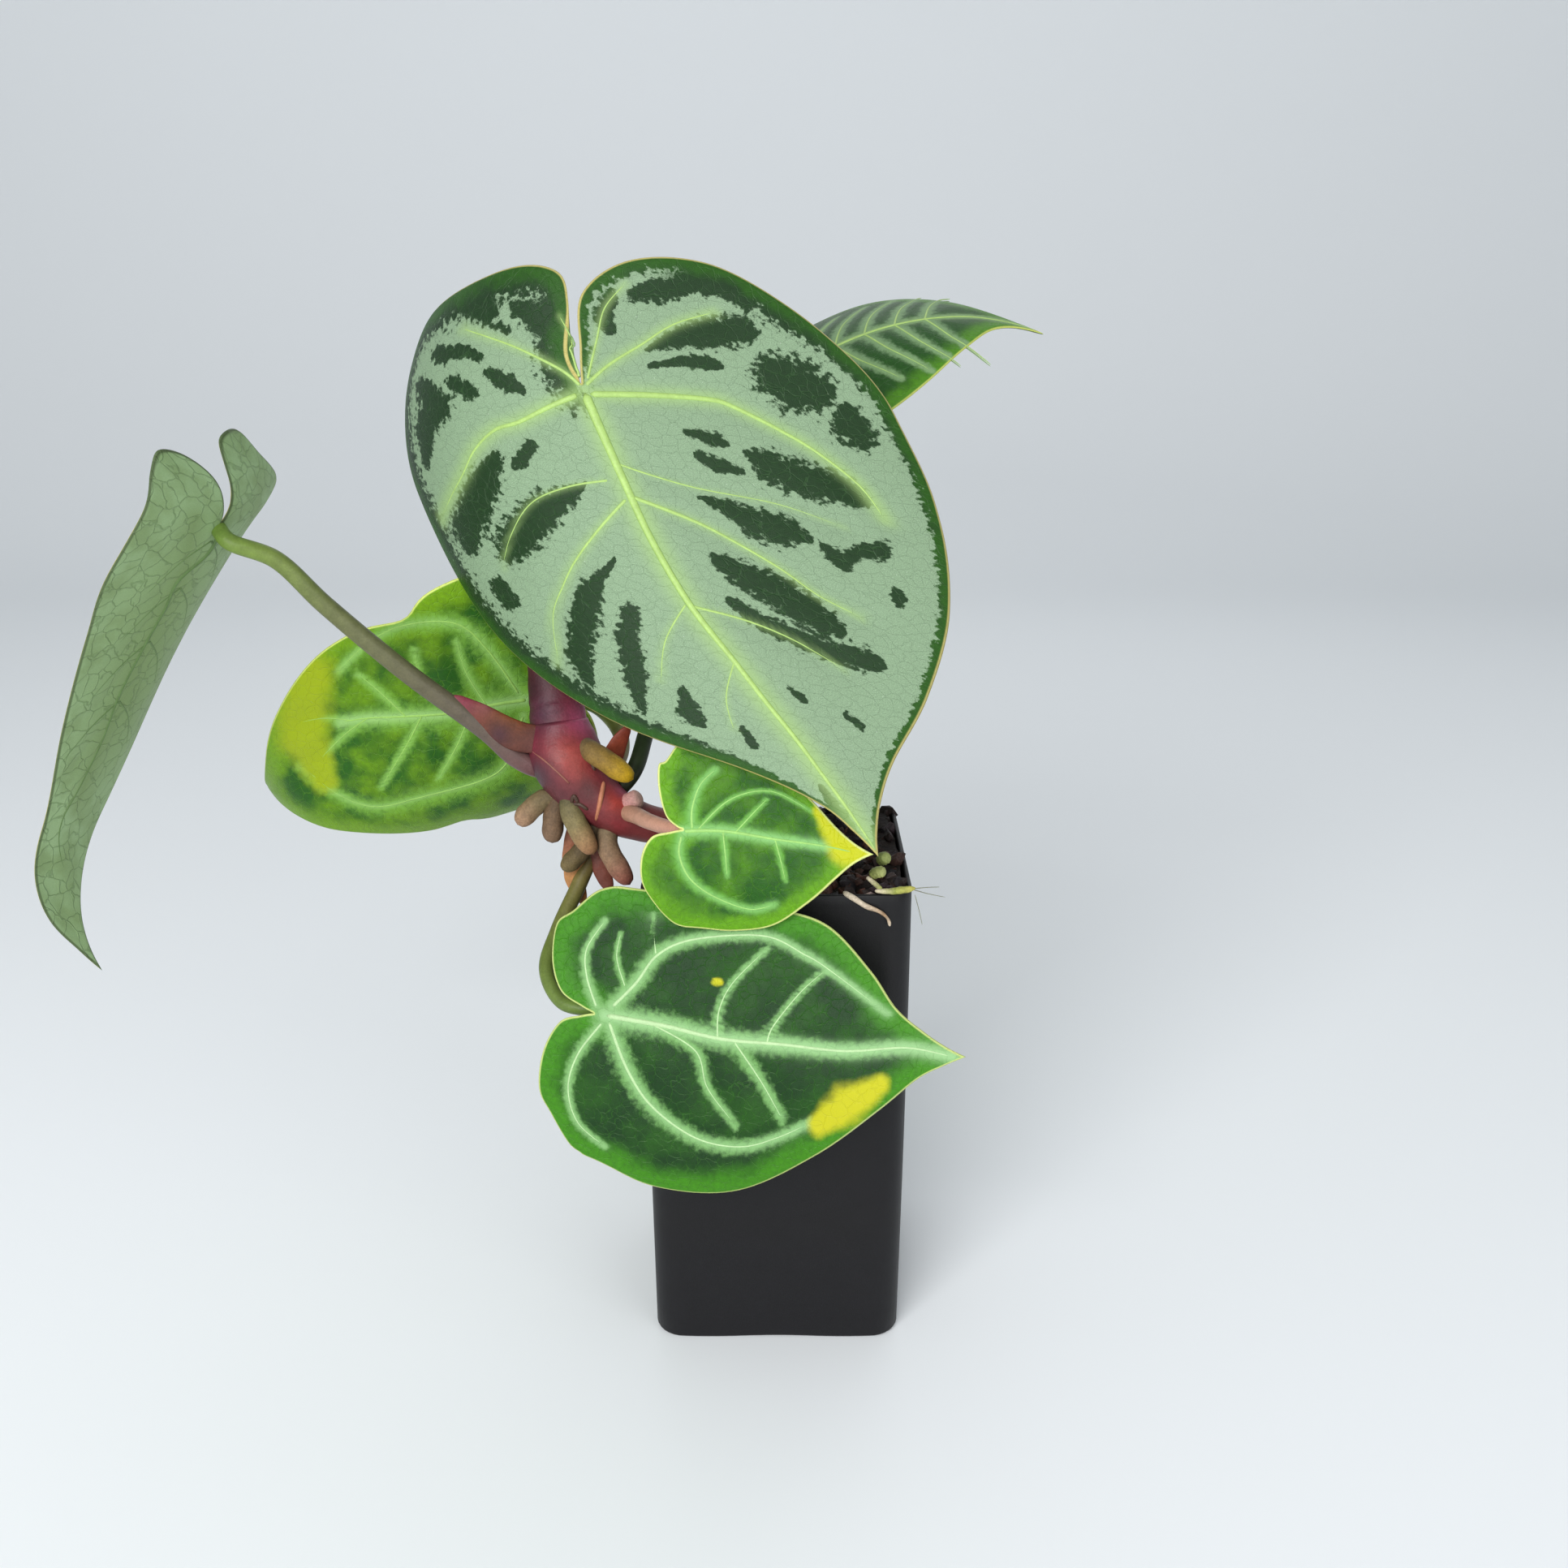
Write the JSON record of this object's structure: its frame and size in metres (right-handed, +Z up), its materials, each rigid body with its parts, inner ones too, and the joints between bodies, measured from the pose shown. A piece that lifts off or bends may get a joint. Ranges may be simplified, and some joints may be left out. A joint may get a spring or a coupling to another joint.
{
  "type": "potted anthurium",
  "caption": "Potted dorayaki anthurium with silver-veined heart-shaped leaves on slender petioles, in a tall square black nursery pot",
  "frame": {"origin": "centre of the pot's underside", "axes": "+Z up through the pot, +X to the right and +Y away from the viewer in the main view, mm in the source and metres in the row"},
  "size_m": [0.2771, 0.1651, 0.3003],
  "materials": {
    "pot_plastic": "matte black plastic with fine speckle",
    "bark_mix": "damp dark bark mix",
    "crown_tissue": "satin pink-red plant tissue",
    "sheath_red": "satin maroon sheath",
    "cataphyll_brown": "dry papery brown",
    "petiole_green": "satin olive green",
    "leaf_silver": "crystalline silver over dark green, satin",
    "leaf_underside": "matte pale grey-green",
    "leaf_young": "semi-gloss yellow-green",
    "leaf_dark": "satin dark green with pale vein bands"
  },
  "bodies": {
    "root": {"pot": "pot_plastic", "soil": "bark_mix", "stem": "crown_tissue", "sheath_upright": "sheath_red", "sheath_wing": "cataphyll_brown", "cataphyll_low": "cataphyll_brown", "cataphyll_side": "cataphyll_brown", "cataphyll_rear": "cataphyll_brown", "petiole_front": "petiole_green", "leaf_front": "leaf_silver", "petiole_back_right": "petiole_green", "leaf_back_right": "leaf_silver", "petiole_left": "petiole_green", "leaf_left": "leaf_underside", "petiole_back_left": "petiole_green", "leaf_back_left": "leaf_young", "petiole_centre": "petiole_green", "leaf_centre": "leaf_young", "petiole_low": "petiole_green", "leaf_low": "leaf_dark"}
  },
  "joints": []
}
